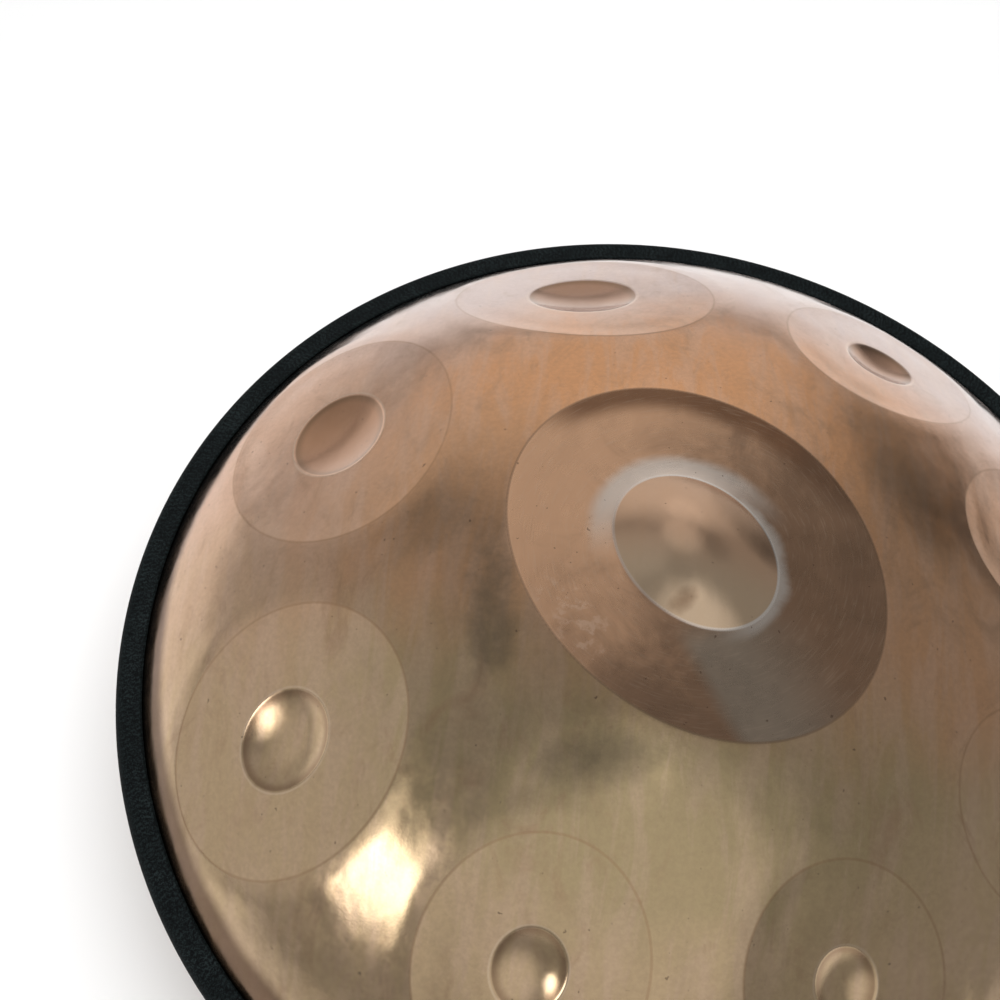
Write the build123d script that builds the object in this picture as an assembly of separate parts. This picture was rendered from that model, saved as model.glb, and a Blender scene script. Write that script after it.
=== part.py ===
from build123d import *

import os
from collections import namedtuple
from math import asin, atan2, cos, degrees, radians, sin, sqrt

# Handpan: two drawn steel shells bonded flange to flange, with a clip-on trim
# round the rim.  Millimetres, +Z up.  The origin is on the axis, on the plane
# that the lower shell rests on.  Shapes are first made in the rim frame, whose
# z = 0 is the middle of the glue line, and are lifted to the resting height last.

# --- Driving dimensions: shells ---
DOME_R = 322.0            # outer skin of both domes is part of this sphere
DOME_RISE = 134.0         # top of that sphere above the rim plane
SHEET = 1.2               # steel thickness
GLUE_LINE = 0.6
FLANGE_R = 268.5
FLANGE_FILLET_R = 4.0     # outer skin, where the dome turns into the flange

# --- Driving dimensions: centre note (ding), an ellipse with a raised dome ---
DING_AZIMUTH = 134.0      # direction of its long axis
DING_LENGTH = 187.0
DING_WIDTH = 152.0
DING_DOME_LENGTH = 82.0
DING_DOME_WIDTH = 65.0
DING_DOME_HEIGHT = 11.0

# --- Driving dimensions: tone fields, each a flattened ellipse with a dimple ---
# azimuth, distance from the axis, length and width, angle of the long axis from
# the line that runs straight down the dome, dimple length, width and depth
ToneField = namedtuple(
    "ToneField", "azimuth radius length width turn dimple_length dimple_width dimple_depth"
)
TONE_FIELDS = [
    ToneField(157, 191, 156, 125, -33, 64, 52, 5.0),
    ToneField(108, 188, 146, 117, 42, 61, 52, 5.0),
    ToneField(207, 196, 138, 117, 5, 52, 44, 5.0),
    ToneField(56, 185, 124, 104, -10, 44, 38, 4.5),
    ToneField(253, 186, 118, 98, 0, 38, 32, 4.0),
    ToneField(15, 186, 114, 94, 0, 36, 30, 4.0),
    ToneField(295, 186, 108, 90, 0, 34, 28, 4.0),
    ToneField(333, 186, 104, 86, 0, 32, 27, 4.0),
]

# --- Driving dimensions: sound port, a neck turned into the lower shell ---
PORT_R = 55.0             # radius of the bore
PORT_ROLL_R = 12.0        # outer skin, where the dome rolls into the neck
PORT_NECK = 20.0          # straight length of the neck

# --- Driving dimensions: trim, a channel with steel clips moulded into it ---
TRIM_R = 272.0
TRIM_HEIGHT = 10.0
TRIM_DEPTH = 14.5
TRIM_OUTER_ROUND = 4.5
TRIM_LIP_ROUND = 1.2
LIP_CLEARANCE = 0.3       # between the trim's lips and the domes
LINER_THICKNESS = 1.0
CLIP_THICKNESS = 0.6
CLIP_LEG_INNER_R = 264.0
CLIP_COUNT = 180
CLIP_SPACING = 1.5        # free distance between two clips
TRIM_JOINT_AZIMUTH = 300.0
TRIM_JOINT_WIDTH = 0.6

# --- Worked-out sizes ---
FULL_TURN = 360.0
SPHERE_Z = DOME_RISE - DOME_R
FLANGE_TOP = GLUE_LINE / 2 + SHEET
FILLET_Z = FLANGE_TOP + FLANGE_FILLET_R
FLANGE_ROOT_R = sqrt((DOME_R + FLANGE_FILLET_R) ** 2 - (FILLET_Z - SPHERE_Z) ** 2)
FLANGE_ANGLE = degrees(atan2(FILLET_Z - SPHERE_Z, FLANGE_ROOT_R))
PORT_ROLL_CENTRE_R = PORT_R + PORT_ROLL_R
PORT_ROLL_Z = SPHERE_Z + sqrt((DOME_R - PORT_ROLL_R) ** 2 - PORT_ROLL_CENTRE_R**2)
PORT_ANGLE = degrees(atan2(PORT_ROLL_Z - SPHERE_Z, PORT_ROLL_CENTRE_R))
RIM_HEIGHT = PORT_ROLL_Z + PORT_ROLL_R
CLIP_PITCH = FULL_TURN / CLIP_COUNT
LINER_R = FLANGE_R + LINER_THICKNESS
CLIP_R = LINER_R + CLIP_THICKNESS
LINER_HALF_HEIGHT = FLANGE_TOP + LINER_THICKNESS
CLIP_HALF_HEIGHT = LINER_HALF_HEIGHT + CLIP_THICKNESS
CUTTER_LENGTH = 6 * FLANGE_R


def spin(face, angle=FULL_TURN):
    """Revolve an upright face, drawn as (distance from the axis, height), about Z."""
    return revolve(Plane.XZ * face, Axis.Z, angle)


def block(r_inner, r_outer, half_height):
    """Upright rectangle from one radius to another, centred on the rim plane."""
    width = r_outer - r_inner
    return Pos((r_inner + r_outer) / 2, 0) * Rectangle(width, 2 * half_height)


def sagitta(radius, half_chord):
    """Height of a circle's arc over a chord."""
    return radius - sqrt(radius**2 - half_chord**2)


def radius_for(half_chord, height):
    """Radius of the circle whose arc stands this high over the chord."""
    return (half_chord**2 + height**2) / (2 * height)


def dome_arc(inset, start, end):
    """Arc of the dome's skin, set in from the outer skin by inset."""
    return CenterArc((0, SPHERE_Z), DOME_R - inset, start, end - start)


def flange_fillet(inset, start, end):
    centre = (FLANGE_ROOT_R, FILLET_Z)
    return CenterArc(centre, FLANGE_FILLET_R + inset, start, end - start)


def plain_dome(inset):
    """Solid under a plain dome's skin, down to the rim plane."""
    fillet_arc = flange_fillet(inset, 180 + FLANGE_ANGLE, 270)
    top = (0, SPHERE_Z + DOME_R - inset)
    foot = Polyline(fillet_arc @ 1, (FLANGE_ROOT_R, 0), (0, 0), top)
    return spin(make_face([dome_arc(inset, 90, FLANGE_ANGLE), fillet_arc, foot]))


def field_plane(azimuth, radius, turn):
    """Plane that touches the sphere, with x along the field's long axis."""
    tilt = asin(radius / DOME_R)
    a = radians(azimuth)
    outward = Vector(cos(a) * sin(tilt), sin(a) * sin(tilt), cos(tilt))
    downhill = Vector(cos(a) * cos(tilt), sin(a) * cos(tilt), -sin(tilt))
    long_axis = downhill * cos(radians(turn)) + outward.cross(downhill) * sin(radians(turn))
    return Plane(Vector(0, 0, SPHERE_Z) + outward * DOME_R, long_axis, outward)


def facet_depth(width):
    """How far a field's middle lies below the sphere."""
    return sagitta(DOME_R, width / 2)


def facet_keep(plane, length, width, inset):
    """Large cylinder whose side flattens the dome inside one elliptical field."""
    depth = facet_depth(width)
    radius = radius_for(length / 2, sagitta(DOME_R, length / 2) - depth)
    side = Plane(plane.origin - plane.z_dir * (depth + radius), plane.x_dir, plane.y_dir)
    return side * Cylinder(radius - inset, CUTTER_LENGTH)


def barrel(length, width, height, grow):
    """Solid whose side bulges in both directions, and its thickness at the middle."""
    short_r = radius_for(width / 2, height)
    long_r = radius_for(length / 2, height)
    half = sqrt((long_r + grow) ** 2 - (long_r - short_r) ** 2)
    crown = ThreePointArc((-half, 0), (0, short_r + grow), (half, 0))
    face = make_face([crown, Line(crown @ 0, crown @ 1)])
    return revolve(Plane.XZ * face, Axis.X, FULL_TURN), short_r


def dimple(field, inset):
    """Cutter for the dished middle of a tone field."""
    plane = field_plane(field.azimuth, field.radius, field.turn)
    body, radius = barrel(field.dimple_length, field.dimple_width, field.dimple_depth, inset)
    lift = radius - field.dimple_depth - facet_depth(field.width)
    return plane * Pos(0, 0, lift) * body


def note_dome(inset):
    """Solid under a dome's skin, with its centre note and its tone fields."""
    body = plain_dome(inset)
    ding = field_plane(DING_AZIMUTH, 0, 0)
    body = body & facet_keep(ding, DING_LENGTH, DING_WIDTH, inset)
    for field in TONE_FIELDS:
        plane = field_plane(field.azimuth, field.radius, field.turn)
        body = body & facet_keep(plane, field.length, field.width, inset)
    for field in TONE_FIELDS:
        body = body - dimple(field, inset)
    crown, radius = barrel(DING_DOME_LENGTH, DING_DOME_WIDTH, DING_DOME_HEIGHT, -inset)
    drop = facet_depth(DING_WIDTH) - DING_DOME_HEIGHT + radius
    return body + ding * Pos(0, 0, -drop) * crown


def top_shell():
    flange = spin(block(FLANGE_ROOT_R, FLANGE_R, SHEET / 2))
    return note_dome(0) - note_dome(SHEET) + Pos(0, 0, FLANGE_TOP - SHEET / 2) * flange


def port_roll(inset, start, end):
    centre = (PORT_ROLL_CENTRE_R, PORT_ROLL_Z)
    return CenterArc(centre, PORT_ROLL_R - inset, start, end - start)


def bottom_shell():
    """Dome with a sound port, drawn upside down and then mirrored."""
    neck_end = PORT_ROLL_Z - PORT_NECK
    outer_roll = port_roll(0, PORT_ANGLE, 180)
    inner_roll = port_roll(SHEET, PORT_ANGLE, 180)
    face = make_face(
        [
            dome_arc(0, FLANGE_ANGLE, PORT_ANGLE),
            outer_roll,
            Polyline(outer_roll @ 1, (PORT_R, neck_end), (PORT_R + SHEET, neck_end), inner_roll @ 1),
            inner_roll,
            dome_arc(SHEET, FLANGE_ANGLE, PORT_ANGLE),
            flange_fillet(SHEET, 180 + FLANGE_ANGLE, 270),
            Polyline(
                (FLANGE_ROOT_R, FLANGE_TOP - SHEET),
                (FLANGE_R, FLANGE_TOP - SHEET),
                (FLANGE_R, FLANGE_TOP),
                (FLANGE_ROOT_R, FLANGE_TOP),
            ),
            flange_fillet(0, 180 + FLANGE_ANGLE, 270),
        ]
    )
    return mirror(spin(face), Plane.XY)


def flange_adhesive():
    return spin(block(FLANGE_ROOT_R, FLANGE_R, GLUE_LINE / 2))


def trim_outline():
    """Section of the trim without its channel."""
    outline = block(TRIM_R - TRIM_DEPTH, TRIM_R, TRIM_HEIGHT / 2)
    corners = outline.vertices().sort_by(Axis.X)
    outline = fillet(corners[2:], TRIM_OUTER_ROUND)
    corners = outline.vertices().sort_by(Axis.X)
    return fillet(corners[:2], TRIM_LIP_ROUND)


def joint_slab():
    """Thin upright slab where the two ends of the trim meet."""
    slab = Pos(FLANGE_R, 0, 0) * Box(4 * TRIM_DEPTH, TRIM_JOINT_WIDTH, 2 * TRIM_HEIGHT)
    return Rot(0, 0, TRIM_JOINT_AZIMUTH) * slab


def jacket_ring():
    """Closed ring of the trim's jacket, its lips following the two domes."""
    channel = block(0, CLIP_R, CLIP_HALF_HEIGHT)
    slot = block(0, CLIP_LEG_INNER_R, FLANGE_TOP + LIP_CLEARANCE)
    arms = block(CLIP_LEG_INNER_R, CLIP_R, CLIP_HALF_HEIGHT)
    ring = spin(trim_outline() - (slot + arms & channel))
    dome = plain_dome(-LIP_CLEARANCE)
    return ring - dome - mirror(dome, Plane.XY)


def liner_ring():
    channel = block(CLIP_LEG_INNER_R, LINER_R, LINER_HALF_HEIGHT)
    return spin(channel - block(0, FLANGE_R, FLANGE_TOP))


def clip_section():
    channel = block(CLIP_LEG_INNER_R, CLIP_R, CLIP_HALF_HEIGHT)
    return channel - block(0, LINER_R, LINER_HALF_HEIGHT)


def rim_trim_jacket():
    return jacket_ring() - joint_slab()


def rim_trim_liner():
    return liner_ring() - joint_slab()


def rim_trim_core():
    """Row of separate steel clips, none of them across the trim's joint."""
    sweep = CLIP_PITCH - degrees(CLIP_SPACING / CLIP_R)
    first = TRIM_JOINT_AZIMUTH + (CLIP_PITCH - sweep) / 2
    clip = spin(clip_section(), sweep)
    return Compound([Rot(0, 0, first + i * CLIP_PITCH) * clip for i in range(CLIP_COUNT)])


def rim_trim_joint():
    """Film of glue that closes the trim's two ends."""
    ring = jacket_ring() + spin(clip_section()) + liner_ring()
    pieces = (ring & joint_slab()).solids()
    return pieces.sort_by(SortBy.VOLUME)[-1]


NODES = {
    "top_shell": top_shell,
    "bottom_shell": bottom_shell,
    "flange_adhesive": flange_adhesive,
    "rim_trim_jacket": rim_trim_jacket,
    "rim_trim_liner": rim_trim_liner,
    "rim_trim_core": rim_trim_core,
    "rim_trim_joint": rim_trim_joint,
}

os.makedirs("parts", exist_ok=True)
for name, make in NODES.items():
    export_step(Pos(0, 0, RIM_HEIGHT) * make(), f"parts/{name}.step")
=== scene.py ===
"""Handpan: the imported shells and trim, with their real surfaces.

The CAD frame gives every place.  The two shells and the trim's jacket are rebuilt here as finer
meshes that stand for their CAD nodes; the glue, liner, clips and end joint keep their shapes and
take new materials.

Shell and trim shapes are worked out in millimetres in the rim frame (z = 0 on the glue line) and
scaled to metres when a mesh is made; materials and the stage are in metres.  Azimuths are in
degrees on the plan: 90 is the far side, 180 the left and 270 the camera's side.
"""

import math
from collections import namedtuple

import bpy
import numpy as np
from mathutils import Matrix, Vector, geometry


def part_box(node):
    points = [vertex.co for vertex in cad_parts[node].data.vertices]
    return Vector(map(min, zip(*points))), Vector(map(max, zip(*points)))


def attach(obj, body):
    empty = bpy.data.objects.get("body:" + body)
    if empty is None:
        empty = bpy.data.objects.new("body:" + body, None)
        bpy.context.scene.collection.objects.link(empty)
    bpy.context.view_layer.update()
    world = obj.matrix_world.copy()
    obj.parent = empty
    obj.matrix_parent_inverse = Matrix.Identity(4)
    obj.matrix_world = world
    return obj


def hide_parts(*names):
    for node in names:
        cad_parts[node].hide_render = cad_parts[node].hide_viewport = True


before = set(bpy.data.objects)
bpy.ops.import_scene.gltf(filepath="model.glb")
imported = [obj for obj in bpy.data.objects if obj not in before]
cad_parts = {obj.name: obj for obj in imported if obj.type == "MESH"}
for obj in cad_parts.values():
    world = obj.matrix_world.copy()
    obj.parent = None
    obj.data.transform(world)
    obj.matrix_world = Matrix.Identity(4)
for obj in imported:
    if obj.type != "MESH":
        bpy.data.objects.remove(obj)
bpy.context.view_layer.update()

MM = 0.001

# --- Shell design, in millimetres, as in the CAD model ---
DOME_R = 322.0
DOME_RISE = 134.0
SHEET = 1.2
GLUE_LINE = 0.6
FLANGE_FILLET_R = 4.0
DING = (134.0, 187.0, 152.0)          # azimuth of the long axis, length, width
DING_DOME = (82.0, 65.0, 11.0)        # length, width, height
DISH_DEPTH = 0.5                      # the ding's ring is slightly dished
DISH_FOOT = 1.0                       # and turns up sharply at the foot of its dome,
DISH_TURN = 0.15                      # over this share of the ring's width
PORT_R = 55.0
PORT_ROLL_R = 12.0
PORT_NECK = 20.0

ToneField = namedtuple(
    "ToneField", "azimuth radius length width turn dimple_length dimple_width dimple_depth"
)
TONE_FIELDS = [
    ToneField(157, 191, 156, 125, -33, 64, 52, 5.0),
    ToneField(108, 188, 146, 117, 42, 61, 52, 5.0),
    ToneField(207, 196, 138, 117, 5, 52, 44, 5.0),
    ToneField(56, 185, 124, 104, -10, 44, 38, 4.5),
    ToneField(253, 186, 118, 98, 0, 38, 32, 4.0),
    ToneField(15, 186, 114, 94, 0, 36, 30, 4.0),
    ToneField(295, 186, 108, 90, 0, 34, 28, 4.0),
    ToneField(333, 186, 104, 86, 0, 32, 27, 4.0),
]

# --- Trim design, in millimetres ---
TRIM_HEIGHT = 10.0
TRIM_ROUND = 4.5
LIP_ROUND = 0.6
LIP_CLEARANCE = 0.3
CHANNEL_R = 270.1
CHANNEL_HALF = 3.1
CHANNEL_LEG_R = 264.0
TRIM_JOINT_AZIMUTH = 300.0
TRIM_JOINT_WIDTH = 0.6
WEAVE_PITCH = 2.9                     # from one chevron to the next
WEAVE_COLUMN = 3.4                    # width of half a chevron
WEAVE_SLANT = 0.55
WEAVE_DEPTH = 0.2
WEAVE_FROM = (12.2, 0.8)              # inside the trim's edge: where the weave starts, its fade
WEAVE_TO = (2.2, 2.0)                 # and where it ends, its fade

# --- Measured from the frame ---
RIM_Z = (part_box("flange_adhesive")[0].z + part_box("flange_adhesive")[1].z) / 2
FLANGE_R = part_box("top_shell")[1].x / MM
TRIM_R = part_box("rim_trim_jacket")[1].x / MM

# --- Worked out ---
SPHERE_Z = DOME_RISE - DOME_R
FLANGE_TOP = GLUE_LINE / 2 + SHEET
FILLET_Z = FLANGE_TOP + FLANGE_FILLET_R
FLANGE_ROOT_R = math.sqrt((DOME_R + FLANGE_FILLET_R) ** 2 - (FILLET_Z - SPHERE_Z) ** 2)
FILLET_CENTRE = (FLANGE_ROOT_R, FILLET_Z)
DOME_EDGE_R = FLANGE_ROOT_R * DOME_R / (DOME_R + FLANGE_FILLET_R)
FOOT_ANGLE = math.degrees(math.atan2(FILLET_Z - SPHERE_Z, FLANGE_ROOT_R))

# --- Marks of making, in millimetres ---
CREASE = 0.55                         # half width over which a pressed edge turns
SHOULDERS = [                         # beside each tone field's outline: place inside it, width, height
    (-8.0, 4.5, 0.26),
    (8.0, 5.0, -0.16),
]
TONE_MARKS = 16                       # hammer marks on each tone field
RING_MARKS = 34                       # on the ding's ring
DOME_MARKS = 120                      # and wider ones all over the shell
DOME_MARKS_R = 250.0
MARKS_FADE = 12.0                     # width beside the flange over which they die away

# --- Mesh fineness, in millimetres ---
OUTER_STEP = 2.7
INNER_STEP = 6.0
DIMPLE_STEP = 0.62                    # share of either step that a dimple or the ding's dome takes
OUTER_EDGE_ROWS = (-1.6, -0.8, -0.3, 0.0, 0.3, 0.8, 1.6)   # rows of points beside a pressed edge
INNER_EDGE_ROWS = (-1.0, 0.0, 1.0)
FOOT_ROWS = 7                         # circles of points round the dome's foot
NORMAL_STEP = 0.15                    # half width over which a slope is measured
RIM_SEGMENTS = 640
LOWER_SEGMENTS = 480
TRIM_SEGMENTS = 1500
TRIM_FACE_ROWS = 10

rng = np.random.default_rng(7)


# ---------------------------------------------------------------- shell shapes

Press = namedtuple("Press", "origin long_axis short_axis normal a b push")


def sagitta(radius, half_chord):
    return radius - math.sqrt(radius**2 - half_chord**2)


def press_at(azimuth, radius, turn, length, width, push):
    """An elliptical pressing on the dome; push is its greatest depth, or height if positive."""
    tilt = math.asin(radius / DOME_R)
    a, t = math.radians(azimuth), math.radians(turn)
    normal = np.array([math.cos(a) * math.sin(tilt), math.sin(a) * math.sin(tilt), math.cos(tilt)])
    down = np.array([math.cos(a) * math.cos(tilt), math.sin(a) * math.cos(tilt), -math.sin(tilt)])
    long_axis = down * math.cos(t) + np.cross(normal, down) * math.sin(t)
    origin = np.array([0, 0, SPHERE_Z]) + normal * DOME_R
    return Press(origin, long_axis, np.cross(normal, long_axis), normal, length / 2, width / 2, push)


def tone_press(f):
    return press_at(f.azimuth, f.radius, f.turn, f.length, f.width, -sagitta(DOME_R, f.width / 2))


def dimple_press(f):
    return press_at(f.azimuth, f.radius, f.turn, f.dimple_length, f.dimple_width, -f.dimple_depth)


TONES = [tone_press(f) for f in TONE_FIELDS]
DIMPLES = [dimple_press(f) for f in TONE_FIELDS]
DING_RING = press_at(DING[0], 0, 0, DING[1], DING[2], -sagitta(DOME_R, DING[2] / 2))
DING_TOP = press_at(DING[0], 0, 0, *DING_DOME)


def plain_dome(x, y):
    """Outer skin of the dome and flange before anything is pressed into it."""
    r = np.hypot(x, y)
    ball = SPHERE_Z + np.sqrt(DOME_R**2 - np.minimum(r, DOME_EDGE_R) ** 2)
    off = np.clip(FLANGE_ROOT_R - r, 0, FLANGE_FILLET_R)
    turn = FILLET_Z - np.sqrt(FLANGE_FILLET_R**2 - off**2)
    return np.stack([x, y, np.where(r < DOME_EDGE_R, ball, turn)], -1)


def ellipse_level(points, press):
    """0 at the middle of a pressing, 1 on its outline; and its slope, per millimetre."""
    d = points - press.origin
    u, v = d @ press.long_axis, d @ press.short_axis
    level = np.sqrt((u / press.a) ** 2 + (v / press.b) ** 2) + 1e-9
    slope = np.sqrt((u / press.a**2) ** 2 + (v / press.b**2) ** 2) / level
    return level, slope


def inside_by(points, press):
    """Distance inside a pressing's outline in millimetres, negative outside it."""
    level, slope = ellipse_level(points, press)
    least_slope = 0.3 / press.a       # the true one dies away at the middle
    return (1 - level) / np.maximum(slope, least_slope)


def bowl(points, press):
    """1 at the middle of a pressing, falling as a paraboloid to 0 at a slightly rounded edge."""
    level, _ = ellipse_level(points, press)
    rounding = 2 * CREASE / press.b
    q = 1 - level**2
    return (q + np.sqrt(q**2 + rounding**2)) / 2


def hammer_marks():
    """Low round dents and swellings left by forming and tuning: place, width and depth."""
    marks = []
    pressings = [(tone, TONE_MARKS, 0.9) for tone in TONES] + [(DING_RING, RING_MARKS, 0.95)]
    for press, count, spread in pressings:
        level = np.sqrt(rng.uniform(0.2, 1, count)) * spread
        angle = rng.uniform(0, 2 * math.pi, count)
        for s, a in zip(level, angle):
            along = press.long_axis * (press.a * s * math.cos(a))
            across = press.short_axis * (press.b * s * math.sin(a))
            place = press.origin + along + across
            marks.append((*place[:2], rng.uniform(6, 14), rng.uniform(-0.12, 0.09)))
    for _ in range(DOME_MARKS):
        r, a = DOME_MARKS_R * math.sqrt(rng.uniform(0.05, 1)), rng.uniform(0, 2 * math.pi)
        place = (r * math.cos(a), r * math.sin(a))
        marks.append((*place, rng.uniform(14, 34), rng.uniform(-0.26, 0.26)))
    return np.array(marks)


MARKS = hammer_marks()


def rim_fade(x, y):
    """1 over the dome, 0 at its foot, where the shell is true to the circle."""
    return np.clip((DOME_EDGE_R - np.hypot(x, y)) / MARKS_FADE, 0, 1)


def unevenness(x, y):
    """Height that the hammer marks add."""
    total = np.zeros_like(x)
    for mx, my, width, depth in MARKS:
        total += depth * np.exp(-((x - mx) ** 2 + (y - my) ** 2) / (2 * width**2))
    return total * rim_fade(x, y)


def shoulders(base):
    """Soft swelling just outside each tone field, and a soft hollow just inside it."""
    total = np.zeros(len(base))
    for press in TONES:
        inside = inside_by(base, press)
        for place, width, height in SHOULDERS:
            total += height * np.exp(-((inside - place) ** 2) / (2 * width**2))
    return total


def ding_dish(base):
    """Height of the dished ring between the ding's outline and the foot of its dome."""
    level, _ = ellipse_level(base, DING_RING)
    foot = DING_TOP.b / DING_RING.b
    t = np.clip((level - foot) / (1 - foot), 0, 1)
    return -4 * DISH_DEPTH * t * (1 - t) - DISH_FOOT * (1 - np.exp(-t / DISH_TURN)) * (1 - t)


def formed_dome(x, y):
    """Outer skin of the upper shell with its ding, tone fields, dimples and hammer marks."""
    base = plain_dome(x, y)
    skin = base.copy()
    skin[:, 2] += ding_dish(base)
    for press in [DING_RING, DING_TOP, *TONES, *DIMPLES]:
        skin += (bowl(base, press) * press.push)[:, None] * press.normal
    outward = (base - [0, 0, SPHERE_Z]) / DOME_R
    swelling = unevenness(x, y) + shoulders(base) * rim_fade(x, y)
    return skin + swelling[:, None] * outward


def skin_normals(x, y):
    """Upward normals of the upper shell's outer skin."""
    across = formed_dome(x + NORMAL_STEP, y) - formed_dome(x - NORMAL_STEP, y)
    up = formed_dome(x, y + NORMAL_STEP) - formed_dome(x, y - NORMAL_STEP)
    n = np.cross(across, up)
    return n / np.linalg.norm(n, axis=1)[:, None]


# ---------------------------------------------------------------- shell meshes

FAR_AWAY = -100.0                     # distance from every outline, given to the inner skin


def ellipse_ring(press, level, step):
    """Points of one ring of a pressing, in plan."""
    length = math.pi * (press.a + press.b) * max(level, 0.02)
    count = max(6, int(length / step))
    angle = np.arange(count) * 2 * math.pi / count
    u, v = press.a * level * np.cos(angle), press.b * level * np.sin(angle)
    drop = DOME_R - np.sqrt(DOME_R**2 - u**2 - v**2)
    points = (
        press.origin
        + u[:, None] * press.long_axis
        + v[:, None] * press.short_axis
        - drop[:, None] * press.normal
    )
    return points[:, :2]


def pressing_rings(press, step, edge_offsets, inner_level=0.0):
    """Rings that follow a pressing: evenly over its inside, and close together at its edge."""
    edge = [1 + o / press.b for o in edge_offsets]
    inside_limit = edge[0] - 0.6 * step / press.b
    count = max(1, int((inside_limit - inner_level) * press.b / step))
    levels = [inner_level + (inside_limit - inner_level) * (k + 0.5) / count for k in range(count)]
    rings = [ellipse_ring(press, s, step) for s in levels]
    rings += [ellipse_ring(press, s, step * 0.8) for s in edge]
    return rings, edge[-1]


def polar_points(step, r_from, r_to):
    """Circles of evenly spread points, in plan."""
    count = max(1, round((r_to - r_from) / step))
    rings = []
    for k in range(count):
        r = r_from + (r_to - r_from) * (k + 0.5) / count
        n = max(1, int(2 * math.pi * r / step))
        a = 2 * math.pi * (np.arange(n) + 0.5 * (k % 2)) / n
        rings.append(np.stack([r * np.cos(a), r * np.sin(a)], -1))
    return rings


def plan_points(step, edge_offsets):
    """Places for the upper shell's vertices, in plan, denser along every pressed edge."""
    kept = []
    taken = []
    for inner, outer in [(DING_TOP, DING_RING), *zip(DIMPLES, TONES)]:
        rings, reach = pressing_rings(inner, step * DIMPLE_STEP, edge_offsets)
        kept.extend(rings)
        start = reach * inner.b / outer.b + 0.3 * step / outer.b
        rings, outer_reach = pressing_rings(outer, step, edge_offsets, start * 0.9)
        clear = []
        for ring in rings:
            level, _ = ellipse_level(plain_dome(*ring.T), inner)
            clear.append(ring[level > reach + 0.4 * step / inner.b])
        kept.extend(clear)
        taken.append((outer, outer_reach + 0.5 * step / outer.b))
    general = np.concatenate(polar_points(step, 0, DOME_EDGE_R - 0.8))
    free = np.ones(len(general), bool)
    base = plain_dome(*general.T)
    for press, reach in taken:
        free &= ellipse_level(base, press)[0] > reach
    kept.append(general[free])
    return np.concatenate(kept)


def circle(radius, count):
    a = np.arange(count) * 2 * math.pi / count
    return np.stack([radius * np.cos(a), radius * np.sin(a)], -1)


def triangulate(points, rim):
    """Delaunay triangles over the points and the closed rim; the rim's points come first."""
    co = [Vector(p) for p in np.concatenate([rim, points])]
    n = len(rim)
    edges = [(i, (i + 1) % n) for i in range(n)]
    out = geometry.delaunay_2d_cdt(co, edges, [], 0, 1e-4, False)
    places = np.array(out[0])
    faces = np.array(out[2])
    a, b, c = (places[faces[:, k]] for k in range(3))
    area = (b[:, 0] - a[:, 0]) * (c[:, 1] - a[:, 1]) - (b[:, 1] - a[:, 1]) * (c[:, 0] - a[:, 0])
    faces[area < 0] = faces[area < 0][:, ::-1]
    return places, faces


def make_mesh(name, points, faces, normals=None, layers=()):
    """A mesh object in metres; points are millimetres in the rim frame."""
    mesh = bpy.data.meshes.new(name)
    co = np.asarray(points) * MM + [0, 0, RIM_Z]
    mesh.from_pydata(co.tolist(), [], [list(map(int, f)) for f in faces])
    mesh.update()
    for key, values in layers:
        layer = mesh.attributes.new(key, "FLOAT", "POINT")
        layer.data.foreach_set("value", np.asarray(values, np.float32))
    mesh.shade_smooth()
    if normals is not None:
        mesh.normals_split_custom_set_from_vertices(normals.tolist())
    piece = bpy.data.objects.new(name, mesh)
    bpy.context.scene.collection.objects.link(piece)
    return piece


def nearest_inside(base, presses):
    """Distance inside the nearest of several outlines."""
    return np.max([inside_by(base, p) for p in presses], axis=0)


def top_shell_mesh():
    """Fine outer skin and coarser inner skin, a sheet's thickness apart, joined at the rim."""
    rim = circle(FLANGE_R, RIM_SEGMENTS)
    foot_radii = np.linspace(DOME_EDGE_R, FLANGE_ROOT_R + 1, FOOT_ROWS)
    foot = [circle(r, RIM_SEGMENTS) for r in foot_radii]
    outer_points = np.concatenate([plan_points(OUTER_STEP, OUTER_EDGE_ROWS), *foot])
    inner_points = np.concatenate([plan_points(INNER_STEP, INNER_EDGE_ROWS), *foot[::3]])
    outer, outer_faces = triangulate(outer_points, rim)
    inner, inner_faces = triangulate(inner_points, rim)
    x, y = outer.T
    skin = formed_dome(x, y)
    inner_normals = skin_normals(*inner.T)
    lining = formed_dome(*inner.T) - inner_normals * SHEET
    n = len(skin)
    ring = np.arange(RIM_SEGMENTS)
    following = (ring + 1) % RIM_SEGMENTS
    faces = outer_faces.tolist()
    faces += (inner_faces[:, ::-1] + n).tolist()
    faces += np.stack([ring, ring + n, following + n, following], -1).tolist()
    base = plain_dome(x, y)
    away = np.full(len(inner), FAR_AWAY)
    layers = [
        ("tone", np.concatenate([nearest_inside(base, TONES), away])),
        ("dimple", np.concatenate([nearest_inside(base, DIMPLES), away])),
        ("ding", np.concatenate([inside_by(base, DING_RING), away])),
        ("ding_top", np.concatenate([inside_by(base, DING_TOP), away])),
    ]
    normals = np.concatenate([skin_normals(x, y), -inner_normals])
    return make_mesh("upper_shell", np.concatenate([skin, lining]), faces, normals, layers)


def lathe(profile, segments):
    """Surface of revolution; the profile is a closed loop of (radius, height)."""
    rows = len(profile)
    a = np.arange(segments) * 2 * math.pi / segments
    r, z = np.array(profile).T
    x, y = np.outer(np.cos(a), r), np.outer(np.sin(a), r)
    points = np.stack([x, y, np.tile(z, (segments, 1))], -1).reshape(-1, 3)
    faces = []
    for i in range(segments):
        j = (i + 1) % segments
        for k in range(rows):
            m = (k + 1) % rows
            faces.append((i * rows + k, j * rows + k, j * rows + m, i * rows + m))
    return points, faces


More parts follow.
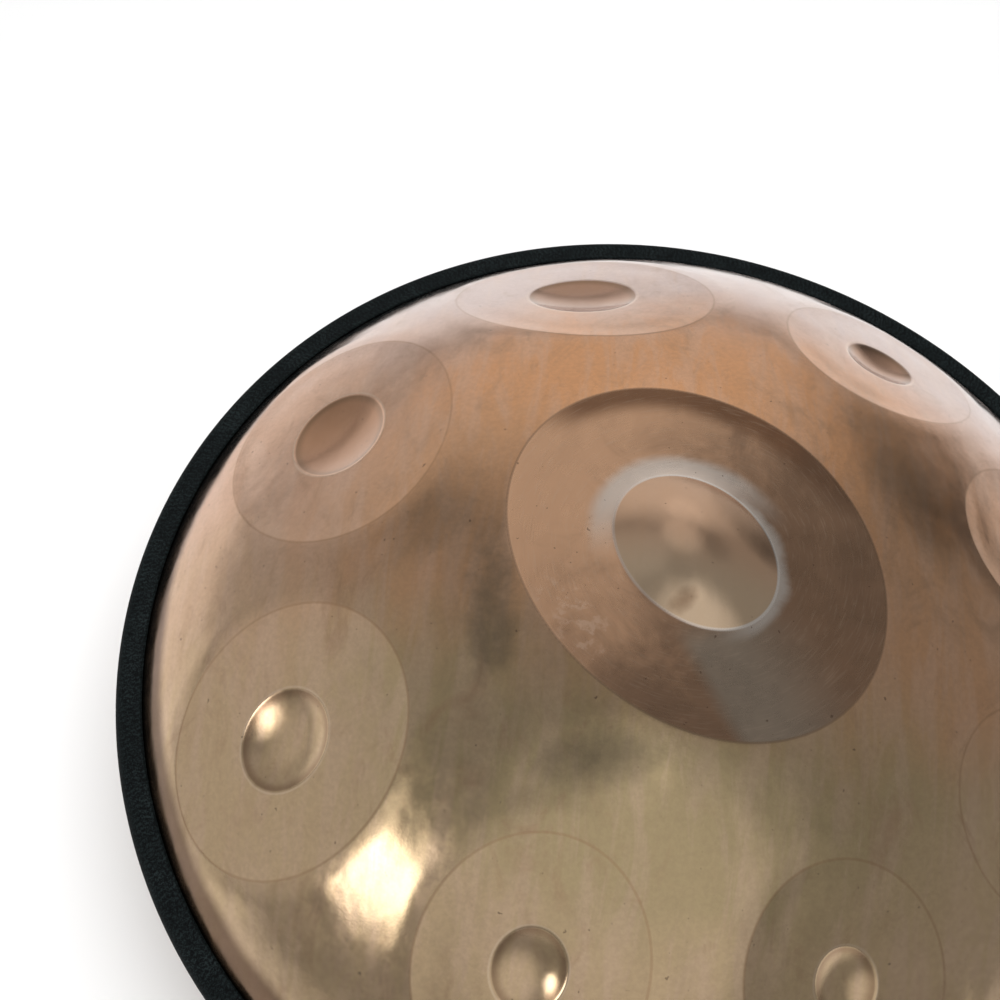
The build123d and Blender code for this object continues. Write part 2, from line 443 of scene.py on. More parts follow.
def arc(centre, radius, start, end, step):
    """Points along an arc in (radius, height), angles in degrees."""
    count = max(2, math.ceil(abs(math.radians(end - start)) * radius / step))
    angles = np.radians(np.linspace(start, end, count + 1))
    return [(centre[0] + radius * math.cos(t), centre[1] + radius * math.sin(t)) for t in angles]


def bottom_profile():
    """Closed section of the lower shell, drawn upside down as in the CAD model."""
    roll_r = PORT_R + PORT_ROLL_R
    roll_z = SPHERE_Z + math.sqrt((DOME_R - PORT_ROLL_R) ** 2 - roll_r**2)
    port_angle = math.degrees(math.atan2(roll_z - SPHERE_Z, roll_r))
    neck_end = roll_z - PORT_NECK
    ball = (0, SPHERE_Z)
    roll = (roll_r, roll_z)
    outer = [(FLANGE_R, FLANGE_TOP)]
    outer += arc(FILLET_CENTRE, FLANGE_FILLET_R, 270, 180 + FOOT_ANGLE, 0.8)
    outer += arc(ball, DOME_R, FOOT_ANGLE, port_angle, 4.0)[1:]
    outer += arc(roll, PORT_ROLL_R, port_angle, 180, 1.2)[1:]
    outer += [(PORT_R, roll_z - PORT_NECK * k / 5) for k in range(1, 6)]
    inner = [(PORT_R + SHEET, neck_end + PORT_NECK * k / 5) for k in range(5)]
    inner += arc(roll, PORT_ROLL_R - SHEET, 180, port_angle, 1.6)
    inner += arc(ball, DOME_R - SHEET, port_angle, FOOT_ANGLE, 7.0)[1:]
    inner += arc(FILLET_CENTRE, FLANGE_FILLET_R + SHEET, 180 + FOOT_ANGLE, 270, 1.2)[1:]
    inner += [(FLANGE_R, FLANGE_TOP - SHEET)]
    return outer + inner


def bottom_shell_mesh():
    """The lower shell, swept round the axis, given hammer marks and flipped to face down."""
    points, faces = lathe(bottom_profile(), LOWER_SEGMENTS)
    x, y, _ = points.T
    outward = points - [0, 0, SPHERE_Z]
    outward /= np.linalg.norm(outward, axis=1)[:, None]
    off_port = np.clip((np.hypot(x, y) - PORT_R - 2 * PORT_ROLL_R) / 20, 0, 1)
    points = points + (unevenness(x, y) * off_port)[:, None] * outward
    points[:, 2] *= -1
    return make_mesh("lower_shell", points, [f[::-1] for f in faces])


# ---------------------------------------------------------------- trim mesh

def trim_profile():
    """Closed section of the jacket: its outside, then its channel."""
    half = TRIM_HEIGHT / 2
    skin_r = DOME_R + LIP_CLEARANCE
    tip_z = half - LIP_ROUND
    tip_r = math.sqrt(skin_r**2 - (tip_z - SPHERE_Z) ** 2)
    toe_z = FLANGE_TOP + LIP_CLEARANCE
    upper = [(CHANNEL_LEG_R, toe_z)]
    upper += arc(FILLET_CENTRE, FLANGE_FILLET_R - LIP_CLEARANCE, 270, 180 + FOOT_ANGLE, 0.8)
    upper += [(tip_r, tip_z)]
    upper += arc((tip_r + 2 * LIP_ROUND, tip_z), LIP_ROUND, 150, 90, 0.3)
    flat_start, flat_end = upper[-1][0] + 0.5, TRIM_R - TRIM_ROUND
    upper += [(r, half) for r in np.linspace(flat_start, flat_end, TRIM_FACE_ROWS)]
    upper += arc((flat_end, half - TRIM_ROUND), TRIM_ROUND, 90, 0, 0.8)[1:]
    lower = [(r, -z) for r, z in reversed(upper)]
    channel = [
        (CHANNEL_LEG_R, -CHANNEL_HALF),
        (CHANNEL_R, -CHANNEL_HALF),
        (CHANNEL_R, CHANNEL_HALF),
        (CHANNEL_LEG_R, CHANNEL_HALF),
    ]
    return upper + lower + channel


def chevrons(along, across):
    """Height of the embossed weave, 0 to 1, from two places in millimetres."""
    zigzag = np.abs((across / WEAVE_COLUMN) % 2 - 1) * WEAVE_COLUMN * WEAVE_SLANT
    return 0.5 + 0.5 * np.cos(2 * math.pi * (along + zigzag) / WEAVE_PITCH)


def woven(r):
    """1 where the jacket's faces are embossed, 0 at their edges; r is the radius."""
    inside_edge = TRIM_R - r
    start, start_fade = WEAVE_FROM
    end, end_fade = WEAVE_TO
    started = np.clip((start - inside_edge) / start_fade, 0, 1)
    return started * np.clip((inside_edge - end) / end_fade, 0, 1)


def trim_mesh():
    """The jacket swept round the rim from one side of its end joint to the other."""
    profile = np.array(trim_profile())
    rows = len(profile)
    gap = TRIM_JOINT_WIDTH / TRIM_R
    start = math.radians(TRIM_JOINT_AZIMUTH)
    angle = start + gap / 2 + np.linspace(0, 2 * math.pi - gap, TRIM_SEGMENTS + 1)
    r, z = profile.T
    r_all, a_all = np.broadcast_arrays(r[None, :], angle[:, None])
    z_all = np.broadcast_to(z, r_all.shape).copy()
    weave = chevrons(a_all * TRIM_R, r_all)
    relief = (weave - 1) * WEAVE_DEPTH * woven(r)
    outside = np.abs(z) > CHANNEL_HALF
    z_all += np.where(outside, np.sign(z) * relief, 0)
    points = np.stack([r_all * np.cos(a_all), r_all * np.sin(a_all), z_all], -1).reshape(-1, 3)
    faces = []
    for i in range(TRIM_SEGMENTS):
        for k in range(rows):
            m = (k + 1) % rows
            faces.append((i * rows + k, (i + 1) * rows + k, (i + 1) * rows + m, i * rows + m))
    last = TRIM_SEGMENTS * rows
    faces.append(tuple(range(rows)))
    faces.append(tuple(last + k for k in reversed(range(rows))))
    return make_mesh("trim_jacket", points, faces, layers=[("weave", weave.ravel())])


# ---------------------------------------------------------------- colours, linear

# Middle of the dome, then round the tone fields; each from the near side to the far side
# The change from middle to outside is the steel's own heat colour; the change from the near side to the
# far side is painted reflection.
NEAR_OLIVE = (0.49, 0.375, 0.205)
MIDDLE_BRONZE = (0.67, 0.375, 0.205)
FAR_GOLD = (0.76, 0.375, 0.175)
NEAR_SAND = (0.61, 0.44, 0.26)
OUTER_COPPER = (0.67, 0.405, 0.27)
FAR_PINK = (0.63, 0.475, 0.425)

# Marks on the whole dome
STREAK_PINK = (0.72, 0.50, 0.38)
STAIN_BROWN = (0.42, 0.25, 0.145)
MOTTLE_BROWN = (0.30, 0.19, 0.12)
# painted reflection of the black trim, in the strip beside it
TRIM_REFLECTION_BROWN = (0.095, 0.043, 0.023)
# smears, and painted shade at the lower right of the first tone field
SMEAR_AND_SHADE_BROWN = (0.16, 0.12, 0.075)
SPECK_BROWN = (0.13, 0.075, 0.045)

# Tone fields and dimples
# painted shade: the far dimples' brown and every dimple's darker walls
DIMPLE_SHADE_BROWN = (0.41, 0.205, 0.105)
WALL_SHADE_BROWN = (0.27, 0.155, 0.085)
# painted shade along each tone field's crease
OUTLINE_SHADE_BROWN = (0.36, 0.20, 0.10)
# painted highlight on the dimples' lips
LIP_HIGHLIGHT_CREAM = (0.82, 0.66, 0.50)

# The ding's ring
RING_DARK = (0.37, 0.22, 0.135)
RING_WARM = (0.78, 0.455, 0.27)
RING_SHADE = (0.23, 0.11, 0.055)
RING_SMEAR = (0.24, 0.145, 0.09)
# painted shade along the ding's outline
RING_OUTLINE_SHADE = (0.26, 0.16, 0.10)
# painted highlights on the hammer dents
DENT_HIGHLIGHT_PINK = (0.92, 0.62, 0.44)
# grey for one wedge of the ring beside the dome
WEDGE_GREY = (0.44, 0.37, 0.29)
# painted reflection round the foot of the ding's dome
HALO_REFLECTION_GREY = (0.80, 0.73, 0.66)
SCUFF_CREAM = (0.80, 0.60, 0.44)

# The ding's dome
DOME_SAND = (0.66, 0.51, 0.35)
# painted reflection on the far side of the ding's dome
DOME_PINK_REFLECTION = (0.68, 0.44, 0.29)
# painted reflection of the camera on the ding's dome
CAMERA_REFLECTION_BROWN = (0.25, 0.135, 0.07)
# painted highlight along the foot of the ding's dome
FOOT_HIGHLIGHT_CREAM = (0.84, 0.78, 0.72)

# Trim, glue and floor: each pair is the range of one mottled surface
VINYL = [(0.009, 0.013, 0.0135), (0.015, 0.021, 0.0215)]
# painted shade in the grooves of the trim's weave
VINYL_GROOVE_SHADE = (0.0015, 0.002, 0.0022)
RUBBER = [(0.02, 0.02, 0.02), (0.035, 0.034, 0.033)]
CLIP_STEEL = [(0.42, 0.42, 0.43), (0.56, 0.56, 0.57)]
EPOXY = [(0.05, 0.05, 0.045), (0.10, 0.10, 0.09)]
FLOOR = [(0.86, 0.86, 0.86), (0.88, 0.88, 0.88)]

# Radii between which the dark brown beside the trim, a painted reflection of the trim, comes in
TRIM_REFLECTION_STRIP = (0.2450, 0.2510)

# Soft dark patches: place, turn in degrees, half length, half width, strength
SMEARS_AND_SHADE = [
    (-0.087, -0.036, 98, 0.040, 0.012, 0.75),
    (-0.088, -0.036, 98, 0.060, 0.030, 0.30),
    (-0.036, -0.098, 10, 0.030, 0.013, 0.70),
    # painted shade at the lower right of the first tone field
    (-0.116, 0.010, 60, 0.030, 0.018, 0.30),
    (0.096, 0.062, 110, 0.060, 0.022, 0.45),
]
RING_SMEARS = [
    (0.060, 0.044, 130, 0.026, 0.013, 0.60),
    (0.072, -0.008, 95, 0.040, 0.014, 0.40),
    (-0.020, -0.072, 160, 0.040, 0.014, 0.35),
]

# Other soft patches, without a strength
# a painted reflection of the camera: a small dark spot on the ding's dome
CAMERA_REFLECTION_SPOT = (-0.005, -0.027, 35, 0.008, 0.005)
DENTED = (-0.052, -0.037, 125, 0.030, 0.014)


# ---------------------------------------------------------------- materials

class Nodes:
    """Short names for building a node tree."""

    def __init__(self, name):
        self.material = bpy.data.materials.new(name)
        self.material.use_nodes = True
        self.tree = self.material.node_tree
        self.tree.nodes.clear()
        self.shader = self.tree.nodes.new("ShaderNodeBsdfPrincipled")
        self.output = self.tree.nodes.new("ShaderNodeOutputMaterial")
        self.tree.links.new(self.shader.outputs[0], self.output.inputs["Surface"])
        self.place = self.tree.nodes.new("ShaderNodeTexCoord").outputs["Object"]

    def set(self, socket, value):
        """Links another node's output to a socket, or gives it a constant."""
        if isinstance(value, bpy.types.NodeSocket):
            self.tree.links.new(value, socket)
        else:
            socket.default_value = value

    def attribute(self, name):
        node = self.tree.nodes.new("ShaderNodeAttribute")
        node.attribute_name = name
        return node.outputs["Fac"]

    def split(self, vector):
        node = self.tree.nodes.new("ShaderNodeSeparateXYZ")
        self.set(node.inputs[0], vector)
        return node.outputs

    def from_axis(self):
        """Distance from the upright axis, in metres."""
        x, y, _ = self.split(self.place)
        squares = self.math("ADD", self.math("POWER", x, 2), self.math("POWER", y, 2))
        return self.math("POWER", squares, 0.5)

    def math(self, operation, a, b=0.0):
        node = self.tree.nodes.new("ShaderNodeMath")
        node.operation = operation
        self.set(node.inputs[0], a)
        self.set(node.inputs[1], b)
        return node.outputs[0]

    def ramp(self, value, low, high, to_low=0.0, to_high=1.0):
        """Smooth step between two values; low may be the larger."""
        node = self.tree.nodes.new("ShaderNodeMapRange")
        node.interpolation_type = "SMOOTHSTEP"
        self.set(node.inputs["Value"], value)
        self.set(node.inputs["From Min"], low)
        self.set(node.inputs["From Max"], high)
        self.set(node.inputs["To Min"], to_low)
        self.set(node.inputs["To Max"], to_high)
        return node.outputs["Result"]

    def noise(self, scale, detail=3.0, roughness=0.5, stretch=(1, 1, 1), distortion=0.0):
        spread = self.tree.nodes.new("ShaderNodeMapping")
        spread.inputs["Scale"].default_value = stretch
        self.set(spread.inputs["Vector"], self.place)
        node = self.tree.nodes.new("ShaderNodeTexNoise")
        node.inputs["Scale"].default_value = scale
        node.inputs["Detail"].default_value = detail
        node.inputs["Roughness"].default_value = roughness
        node.inputs["Distortion"].default_value = distortion
        self.set(node.inputs["Vector"], spread.outputs[0])
        return node.outputs["Fac"]

    def rubbed(self, across, around):
        """Noise drawn out round the upright axis, as left by rubbing in circles."""
        x, y, _ = self.split(self.place)
        radius = self.from_axis()
        place = self.tree.nodes.new("ShaderNodeCombineXYZ")
        self.set(place.inputs[0], self.math("MULTIPLY", radius, across))
        self.set(place.inputs[1], self.math("MULTIPLY", self.math("DIVIDE", x, radius), around))
        self.set(place.inputs[2], self.math("MULTIPLY", self.math("DIVIDE", y, radius), around))
        node = self.tree.nodes.new("ShaderNodeTexNoise")
        node.inputs["Scale"].default_value = 1.0
        node.inputs["Detail"].default_value = 4.0
        node.inputs["Roughness"].default_value = 0.6
        node.inputs["Distortion"].default_value = 0.4
        self.set(node.inputs["Vector"], place.outputs[0])
        return node.outputs["Fac"]

    def mix(self, factor, a, b):
        node = self.tree.nodes.new("ShaderNodeMix")
        node.data_type = "RGBA"
        self.set(node.inputs["Factor"], factor)
        self.set(node.inputs["A"], a if isinstance(a, bpy.types.NodeSocket) else (*a, 1))
        self.set(node.inputs["B"], b if isinstance(b, bpy.types.NodeSocket) else (*b, 1))
        return node.outputs["Result"]

    def stain(self, color, mask, strength, tint):
        """A color with another laid over it where the mask holds."""
        return self.mix(self.math("MULTIPLY", mask, strength), color, tint)

    def bump(self, height, distance, under=None):
        node = self.tree.nodes.new("ShaderNodeBump")
        node.inputs["Distance"].default_value = distance
        self.set(node.inputs["Height"], height)
        if under is not None:
            self.set(node.inputs["Normal"], under)
        return node.outputs["Normal"]

    def clear_from_behind(self):
        """Lets the view from below the floor through."""
        new, link = self.tree.nodes.new, self.tree.links.new
        mix = new("ShaderNodeMixShader")
        link(new("ShaderNodeNewGeometry").outputs["Backfacing"], mix.inputs[0])
        link(self.shader.outputs[0], mix.inputs[1])
        link(new("ShaderNodeBsdfTransparent").outputs[0], mix.inputs[2])
        link(mix.outputs[0], self.output.inputs["Surface"])

    def finish(self, color, roughness, normal=None, metallic=0.0, **constants):
        self.set(self.shader.inputs["Base Color"], color)
        self.set(self.shader.inputs["Roughness"], roughness)
        self.shader.inputs["Metallic"].default_value = metallic
        if normal is not None:
            self.set(self.shader.inputs["Normal"], normal)
        for key, value in constants.items():
            self.shader.inputs[key.replace("_", " ")].default_value = value
        return self.material


def toward(n, azimuth):
    """Distance from the axis in one direction, in metres."""
    x, y, _ = n.split(n.place)
    a = math.radians(azimuth)
    return n.math("ADD", n.math("MULTIPLY", x, math.cos(a)), n.math("MULTIPLY", y, math.sin(a)))


def both(n, *masks):
    """Where all the masks hold."""
    total = masks[0]
    for mask in masks[1:]:
        total = n.math("MULTIPLY", total, mask)
    return total


def soft_patch(n, x, y, turn, half_length, half_width):
    """1 in the middle of a soft oval on the plan, 0 outside it; the sizes are in metres."""
    a = math.radians(turn)
    along_offset = x * math.cos(a) + y * math.sin(a)
    across_offset = y * math.cos(a) - x * math.sin(a)
    along = n.math("SUBTRACT", toward(n, turn), along_offset)
    across = n.math("SUBTRACT", toward(n, turn + 90), across_offset)
    along = n.math("POWER", n.math("DIVIDE", along, half_length), 2)
    across = n.math("POWER", n.math("DIVIDE", across, half_width), 2)
    ragged = n.math("MULTIPLY", n.math("SUBTRACT", n.noise(55, 5, 0.65), 0.5), 2.0)
    return n.ramp(n.math("ADD", n.math("ADD", along, across), ragged), 1.3, -0.35)


def smeared(n, color, smears, smear_color):
    """A color with a list of soft dark patches over it."""
    for x, y, turn, half_length, half_width, strength in smears:
        patch = soft_patch(n, x, y, turn, half_length, half_width)
        color = n.stain(color, patch, strength, smear_color)
    return color


def heat_colours_and_reflection(n):
    """Heat colours: gold near the middle on the far side, olive on the near side, pink bronze outside;
    the change from the middle outwards is the steel's own, the change from the near side to the far side
    is painted reflection, and the dark brown beside the trim is a painted reflection of the trim.
    """
    clouds = n.math("SUBTRACT", n.noise(9, 4, 0.6, distortion=0.6), 0.5)
    # painted reflection: the far side paler and pinker, the near side olive
    far = n.math("ADD", toward(n, 84), n.math("MULTIPLY", clouds, 0.14))
    middle = n.mix(n.ramp(far, -0.10, -0.01), NEAR_OLIVE, MIDDLE_BRONZE)
    middle = n.mix(n.ramp(far, 0.01, 0.10), middle, FAR_GOLD)
    outside = n.mix(n.ramp(far, -0.12, 0.04), NEAR_SAND, OUTER_COPPER)
    outside = n.mix(n.ramp(far, 0.07, 0.16), outside, FAR_PINK)
    from_axis = n.from_axis()
    drifted = n.math("ADD", from_axis, n.math("MULTIPLY", clouds, -0.10))
    color = n.mix(n.ramp(drifted, 0.12, 0.20), middle, outside)
    streaks = n.noise(1, 5, 0.65, stretch=(75, 13, 13), distortion=0.8)
    color = n.mix(n.ramp(streaks, 0.42, 0.62, 0.0, 0.30), color, STREAK_PINK)
    stains = n.noise(1, 6, 0.7, stretch=(42, 24, 24), distortion=1.2)
    color = n.mix(n.ramp(stains, 0.50, 0.75, 0.0, 0.5), color, STAIN_BROWN)
    mottle = n.noise(420, 4, 0.7)
    color = n.mix(n.ramp(mottle, 0.35, 0.65, 0.0, 0.16), color, MOTTLE_BROWN)
    # painted reflection of the black trim: a dark brown strip beside it
    wandering = n.math("ADD", from_axis, n.math("MULTIPLY", clouds, 0.008))
    return n.mix(n.ramp(wandering, *TRIM_REFLECTION_STRIP, 0.0, 0.80), color, TRIM_REFLECTION_BROWN)


def steel_line(n, distance, width, strength):
    """A pressed outline: strongest on the line itself, gone at the given width."""
    return n.ramp(n.math("ABSOLUTE", distance), width * 0.3, width, strength, 0.0)


def tone_field_colours(n, color, tone, dimple):
    """Brown dimples with darker walls and bright lips, and a thin line round each tone field: the brown
    of the far dimples and of the walls is painted shade, the lips are a painted highlight and the line
    is painted shade along the crease.
    """
    # painted shade in the far dimples and on every dimple's walls
    far_half = n.ramp(toward(n, 90), -0.05, 0.05, 0.0, 0.8)
    color = n.mix(both(n, n.ramp(dimple, 0.3, 1.5), far_half), color, DIMPLE_SHADE_BROWN)
    wall = both(n, n.ramp(dimple, 0.4, 1.2), n.ramp(dimple, 5.5, 1.4))
    color = n.stain(color, wall, 0.65, WALL_SHADE_BROWN)
    # painted shade: a thin dark line along each tone field's crease
    color = n.mix(steel_line(n, tone, 0.9, 0.35), color, OUTLINE_SHADE_BROWN)
    # painted highlight: a cream line round each dimple's lip
    lip = n.math("ADD", dimple, 0.5)
    return n.mix(steel_line(n, lip, 0.8, 0.25), color, LIP_HIGHLIGHT_CREAM)


def ring_colours(n, ding, ding_top):
    """Brown brushed ring: warm on one side, dark on the other, grey in one wedge, with painted shade
    along its far edge, painted highlights on its dents and a painted reflection round the foot of the
    dome.
    """
    clouds = n.math("SUBTRACT", n.noise(30, 5, 0.65, distortion=0.8), 0.5)
    side = n.math("ADD", toward(n, 162), n.math("MULTIPLY", clouds, 0.14))
    color = n.mix(n.ramp(side, -0.03, 0.06), RING_DARK, RING_WARM)
    far_edge = both(n, n.ramp(ding, 16.0, 5.0), n.ramp(toward(n, 78), 0.035, 0.06))
    color = n.stain(color, far_edge, 0.9, RING_SHADE)
    color = smeared(n, color, RING_SMEARS, RING_SMEAR)
    # painted highlights on the hammer dents at the lower left of the ring
    dents = n.ramp(n.noise(150, 3, 0.6), 0.52, 0.64)
    color = n.stain(color, both(n, dents, soft_patch(n, *DENTED)), 0.7, DENT_HIGHLIGHT_PINK)
    across = n.math("ADD", toward(n, 32), n.math("MULTIPLY", clouds, 0.008))
    wedge = both(
        n,
        n.ramp(across, -0.031, -0.021),
        n.ramp(across, 0.034, -0.010),
        n.ramp(toward(n, 290), 0.030, 0.045),
    )
    color = n.stain(color, wedge, 0.7, WEDGE_GREY)
    # painted reflection: a pale halo round the dome's foot on the far side and a pale band at its right
    foot = n.math("ADD", ding_top, n.math("MULTIPLY", clouds, 9.0))
    halo = both(n, n.ramp(foot, -14.0, -7.0), n.ramp(toward(n, 108), 0.0, 0.036))
    right = both(n, n.ramp(foot, -7.0, -1.0), n.ramp(toward(n, 5), 0.005, 0.03))
    return n.stain(color, n.math("MAXIMUM", halo, right), 0.7, HALO_REFLECTION_GREY)


def dome_colours(n, color, ding_top):
    """The ding's dome: satin, coppery on the far side as a painted reflection, with a small dark spot
    that is a painted reflection of the camera, and a painted highlight along its foot.
    """
    on_dome = n.ramp(ding_top, -0.5, 0.8)
    # painted reflection: coppery pink on the far side of the dome
    satin = n.mix(n.ramp(toward(n, 80), -0.02, 0.005), DOME_SAND, DOME_PINK_REFLECTION)
    color = n.stain(color, on_dome, 0.8, satin)
    # painted reflection of the camera as a small dark spot
    camera_reflection = both(n, soft_patch(n, *CAMERA_REFLECTION_SPOT), on_dome)
    color = n.stain(color, camera_reflection, 0.7, CAMERA_REFLECTION_BROWN)
    # painted highlight along the dome's foot, brighter on one side
    foot_highlight_side = n.ramp(toward(n, 25), -0.03, 0.015, 0.45, 1.0)
    return n.mix(both(n, steel_line(n, ding_top, 0.9, 0.8), foot_highlight_side), color, FOOT_HIGHLIGHT_CREAM)


def upper_steel():
    """Oiled satin steel with heat colours and a scuffed ding, with painted reflections, painted shade in
    the dimples and along the creases, and painted highlights on the dimples' lips and the foot of the
    ding's dome.
    """
    n = Nodes("heat_coloured_steel")
    tone, dimple = n.attribute("tone"), n.attribute("dimple")
    ding, ding_top = n.attribute("ding"), n.attribute("ding_top")
    color = smeared(n, heat_colours_and_reflection(n), SMEARS_AND_SHADE, SMEAR_AND_SHADE_BROWN)
    color = tone_field_colours(n, color, tone, dimple)
    in_ring = both(n, n.ramp(ding, -0.5, 0.8), n.ramp(ding_top, 0.8, -0.8))
    color = n.mix(in_ring, color, ring_colours(n, ding, ding_top))
    scuffs = n.rubbed(1300, 7)
    color = n.mix(both(n, n.ramp(scuffs, 0.5, 0.72, 0.0, 0.16), in_ring), color, SCUFF_CREAM)
    color = dome_colours(n, color, ding_top)
    # painted shade: a thin dark line along the ding's outline
    color = n.mix(steel_line(n, ding, 0.8, 0.5), color, RING_OUTLINE_SHADE)
    specks = n.ramp(n.noise(330, 2, 0.5), 0.735, 0.76)
    color = n.stain(color, specks, 0.6, SPECK_BROWN)
    satin = n.ramp(n.noise(60, 5, 0.65), 0.35, 0.65, 0.13, 0.21)
    roughness = n.math("ADD", satin, n.math("MULTIPLY", in_ring, 0.12))
    ripples, grain = n.noise(1, 2, 0.4, stretch=(60, 38, 38)), n.noise(900, 2, 0.5)
    normal = n.bump(ripples, 0.00042)
    normal = n.bump(grain, 0.00001, under=normal)
    normal = n.bump(both(n, scuffs, in_ring), 0.00004, under=normal)
    return n.finish(color, roughness, normal, metallic=1.0, Coat_Weight=0.3, Coat_Roughness=0.1)


def lower_steel():
    """The same steel without pressings, under a heavier coat of oil."""
    n = Nodes("heat_coloured_steel_lower")
    roughness = n.ramp(n.noise(40, 4, 0.6), 0.3, 0.7, 0.22, 0.3)
    normal = n.bump(n.noise(900, 2, 0.5), 0.00001)
    color = heat_colours_and_reflection(n)
    return n.finish(color, roughness, normal, metallic=1.0, Coat_Weight=0.8, Coat_Roughness=0.1)


def trim_vinyl():
    """Black vinyl with a fine grain, with painted shade in the grooves of its weave."""
    n = Nodes("trim_vinyl")
    grain = n.noise(1500, 3, 0.6)
    worn = n.mix(n.ramp(n.noise(60, 4, 0.6), 0.4, 0.75), *VINYL)
    # painted shade: the grooves of the weave are darker
    raised = n.ramp(n.attribute("weave"), 0.0, 1.0, 0.45, 1.0)
    threads = n.math("MULTIPLY", raised, n.ramp(grain, 0.38, 0.62))
    color = n.mix(n.ramp(threads, 0.1, 0.8), VINYL_GROOVE_SHADE, worn)
    roughness = n.ramp(grain, 0.3, 0.7, 0.6, 0.8)
    return n.finish(color, roughness, n.bump(grain, 0.00006), Specular_IOR_Level=0.12)


def liner_rubber():
    n = Nodes("liner_rubber")
    color = n.mix(n.ramp(n.noise(200, 3), 0.4, 0.6), *RUBBER)
    return n.finish(color, 0.8, n.bump(n.noise(1500, 2), 0.00004))


def clip_steel():
    n = Nodes("clip_steel")
    grain = n.noise(700, 3, 0.6, stretch=(1, 1, 6))
    color = n.mix(n.ramp(grain, 0.3, 0.7), *CLIP_STEEL)
    roughness = n.ramp(grain, 0.3, 0.7, 0.3, 0.5)
    return n.finish(color, roughness, n.bump(grain, 0.00002), metallic=1.0)


def cured_epoxy():
    n = Nodes("cured_epoxy")
    flow = n.noise(150, 3, 0.5)
    color = n.mix(n.ramp(flow, 0.35, 0.65), *EPOXY)
    return n.finish(color, n.ramp(flow, 0.3, 0.7, 0.2, 0.4), n.bump(flow, 0.0001))


def give(piece, material):
    """Makes a material the only one of a piece."""
    piece.data.materials.clear()
    piece.data.materials.append(material)


# ---------------------------------------------------------------- stage

CAMERA_ELEVATION = math.radians(60.69)
CAMERA_ROLL = math.radians(6.70)
CAMERA_DISTANCE = 0.7231
CAMERA_ASIDE = (-0.0789, 0.0824)      # to the right and upwards, across the view
CAMERA_LENS = 50.3

FLOOR_HALF = 40.0
LAMP_HEIGHT = 1.9
LAMP_SIDE = 1.5
LAMP_POWER = 36.0

BACKDROP_GREY = 0.42                  # what the camera sees past the floor
STUDIO_BASE = 0.31                    # brightness that the object's gloss sees all round

# Soft patches of the studio: azimuth and height of each in degrees, the radius in degrees inside
# which it is full and that at which it ends, and the brightness it adds.
STUDIO_PATCHES = [
    (95, 0, 20, 60, 0.38),            # bright backdrop
    (88, 36, 6, 16, 0.14),            # glow over it
    (105, 62, 4, 20, 0.26),           # soft light above it
    (170, -5, 10, 50, 0.14),          # pale wall on the left
    (188, 15, 8, 26, 0.16),           # its brightest part
    (165, 50, 8, 24, 0.10),           # glow over it
    (272, 48, 12, 40, 0.42),          # soft box in front
    (274, 74, 2, 9, 0.25),            # its bright upper edge
    (217, 27, 2, 11, 3.6),            # small window, low on the left
    (208, 33, 3, 9, 0.9),             # its dimmer pane
    (243, 75, 2, 12, -0.10),          # dark gaps overhead
    (55, 58, 3, 18, -0.08),
    (50, 4, 6, 28, -0.22),            # dark corner behind on the right
]


def add_camera():
    """The view from above the near side, rolled a little."""
    back = Vector((0, -math.cos(CAMERA_ELEVATION), math.sin(CAMERA_ELEVATION)))
    level = Vector((1, 0, 0))
    rise = back.cross(level)
    right = level * math.cos(CAMERA_ROLL) + rise * math.sin(CAMERA_ROLL)
    up = rise * math.cos(CAMERA_ROLL) - level * math.sin(CAMERA_ROLL)
    data = bpy.data.cameras.new("camera")
    data.lens = CAMERA_LENS
    camera = bpy.data.objects.new("camera", data)
    bpy.context.scene.collection.objects.link(camera)
    place = right * CAMERA_ASIDE[0] + up * CAMERA_ASIDE[1] + back * CAMERA_DISTANCE
    turn = Matrix((right, up, back)).transposed().to_4x4()
    camera.matrix_world = Matrix.Translation(place + Vector((0, 0, RIM_Z))) @ turn
    bpy.context.scene.camera = camera


def add_floor():
    """A wide pale floor, clear when seen from below."""
    mesh = bpy.data.meshes.new("floor")
    half = FLOOR_HALF
    corners = [(-half, -half, 0), (half, -half, 0), (half, half, 0), (-half, half, 0)]
    mesh.from_pydata(corners, [], [(0, 1, 2, 3)])
    floor = bpy.data.objects.new("floor", mesh)
    bpy.context.scene.collection.objects.link(floor)
    n = Nodes("pale_floor")
    give(floor, n.finish(n.mix(n.noise(3, 2), *FLOOR), 0.9))
    n.clear_from_behind()


def add_lamp():
    """A soft square lamp straight above; the gloss sees the world's patches in its place."""
    data = bpy.data.lights.new("overhead", "AREA")
    data.shape = "SQUARE"
    data.size = LAMP_SIDE
    data.energy = LAMP_POWER
    lamp = bpy.data.objects.new("overhead", data)
    bpy.context.scene.collection.objects.link(lamp)
    lamp.location = (0, 0, LAMP_HEIGHT)
    lamp.visible_glossy = False


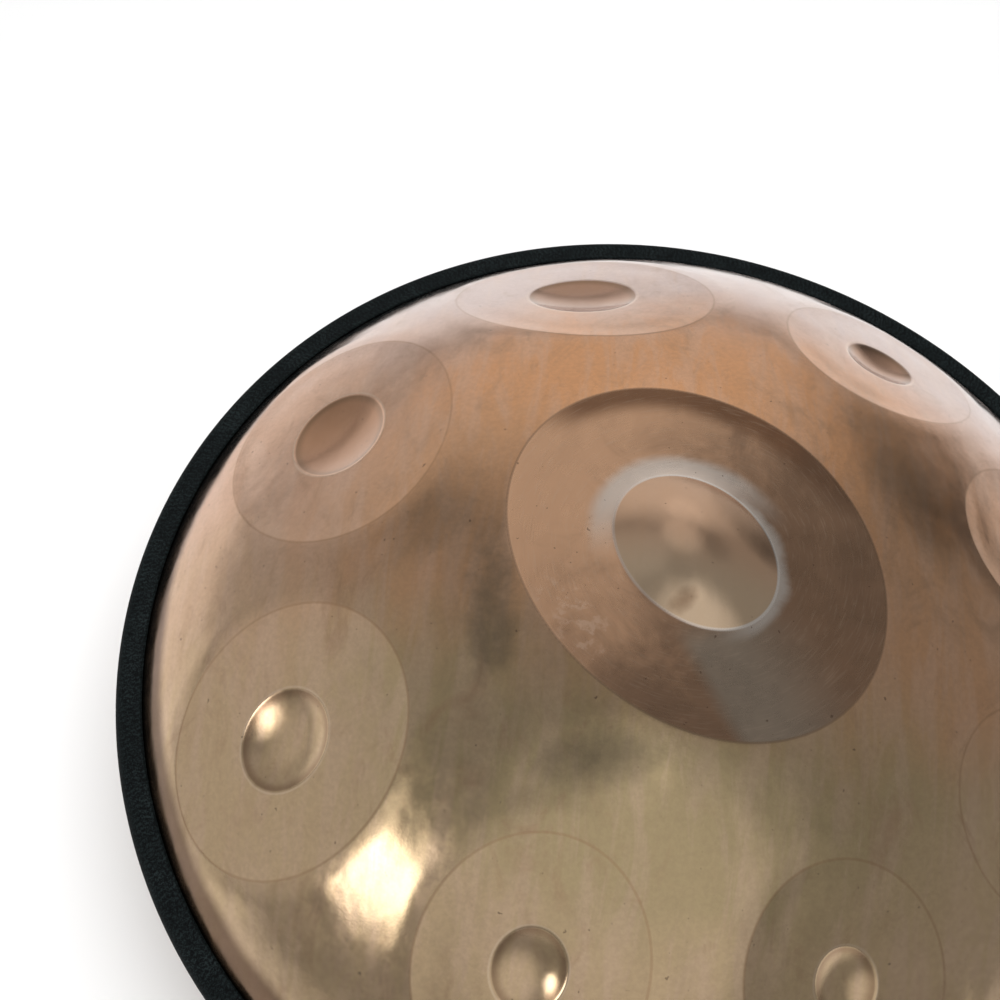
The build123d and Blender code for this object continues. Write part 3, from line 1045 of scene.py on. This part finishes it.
def studio_glow(tree):
    """Brightness of the studio in each direction."""
    new, link = tree.nodes.new, tree.links.new
    direction = new("ShaderNodeTexCoord").outputs["Generated"]
    base = new("ShaderNodeValue")
    base.outputs[0].default_value = STUDIO_BASE
    glow = base.outputs[0]
    for azimuth, height, inner, outer, amount in STUDIO_PATCHES:
        a, e = math.radians(azimuth), math.radians(height)
        dot = new("ShaderNodeVectorMath")
        dot.operation = "DOT_PRODUCT"
        link(direction, dot.inputs[0])
        dot.inputs[1].default_value = (math.cos(a) * math.cos(e), math.sin(a) * math.cos(e), math.sin(e))
        patch = new("ShaderNodeMapRange")
        patch.interpolation_type = "SMOOTHSTEP"
        link(dot.outputs["Value"], patch.inputs["Value"])
        patch.inputs["From Min"].default_value = math.cos(math.radians(outer))
        patch.inputs["From Max"].default_value = math.cos(math.radians(inner))
        patch.inputs["To Max"].default_value = amount
        total = new("ShaderNodeMath")
        link(patch.outputs[0], total.inputs[0])
        link(glow, total.inputs[1])
        glow = total.outputs[0]
    return glow


def add_world():
    """The studio as the object sees it, and a plain backdrop for the camera."""
    world = bpy.data.worlds.new("studio")
    bpy.context.scene.world = world
    world.use_nodes = True
    tree = world.node_tree
    tree.nodes.clear()
    new, link = tree.nodes.new, tree.links.new
    studio, backdrop = new("ShaderNodeBackground"), new("ShaderNodeBackground")
    link(studio_glow(tree), studio.inputs["Strength"])
    studio.inputs["Color"].default_value = (1, 1, 1, 1)
    backdrop.inputs["Color"].default_value = (BACKDROP_GREY, BACKDROP_GREY, BACKDROP_GREY, 1)
    mix = new("ShaderNodeMixShader")
    link(new("ShaderNodeLightPath").outputs["Is Camera Ray"], mix.inputs[0])
    link(studio.outputs[0], mix.inputs[1])
    link(backdrop.outputs[0], mix.inputs[2])
    link(mix.outputs[0], new("ShaderNodeOutputWorld").inputs["Surface"])


# ---------------------------------------------------------------- assembly

def add_piece(piece, node, material):
    """Puts a new mesh in the place of its CAD node."""
    give(piece, material)
    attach(piece, "root")
    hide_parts(node)


add_camera()
add_piece(top_shell_mesh(), "top_shell", upper_steel())
add_piece(bottom_shell_mesh(), "bottom_shell", lower_steel())
add_piece(trim_mesh(), "rim_trim_jacket", trim_vinyl())

glue = cured_epoxy()
kept = {
    "flange_adhesive": glue,
    "rim_trim_joint": glue,
    "rim_trim_liner": liner_rubber(),
    "rim_trim_core": clip_steel(),
}
for node, material in kept.items():
    give(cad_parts[node], material)

add_floor()
add_world()
add_lamp()
bpy.context.scene.view_settings.view_transform = "Standard"
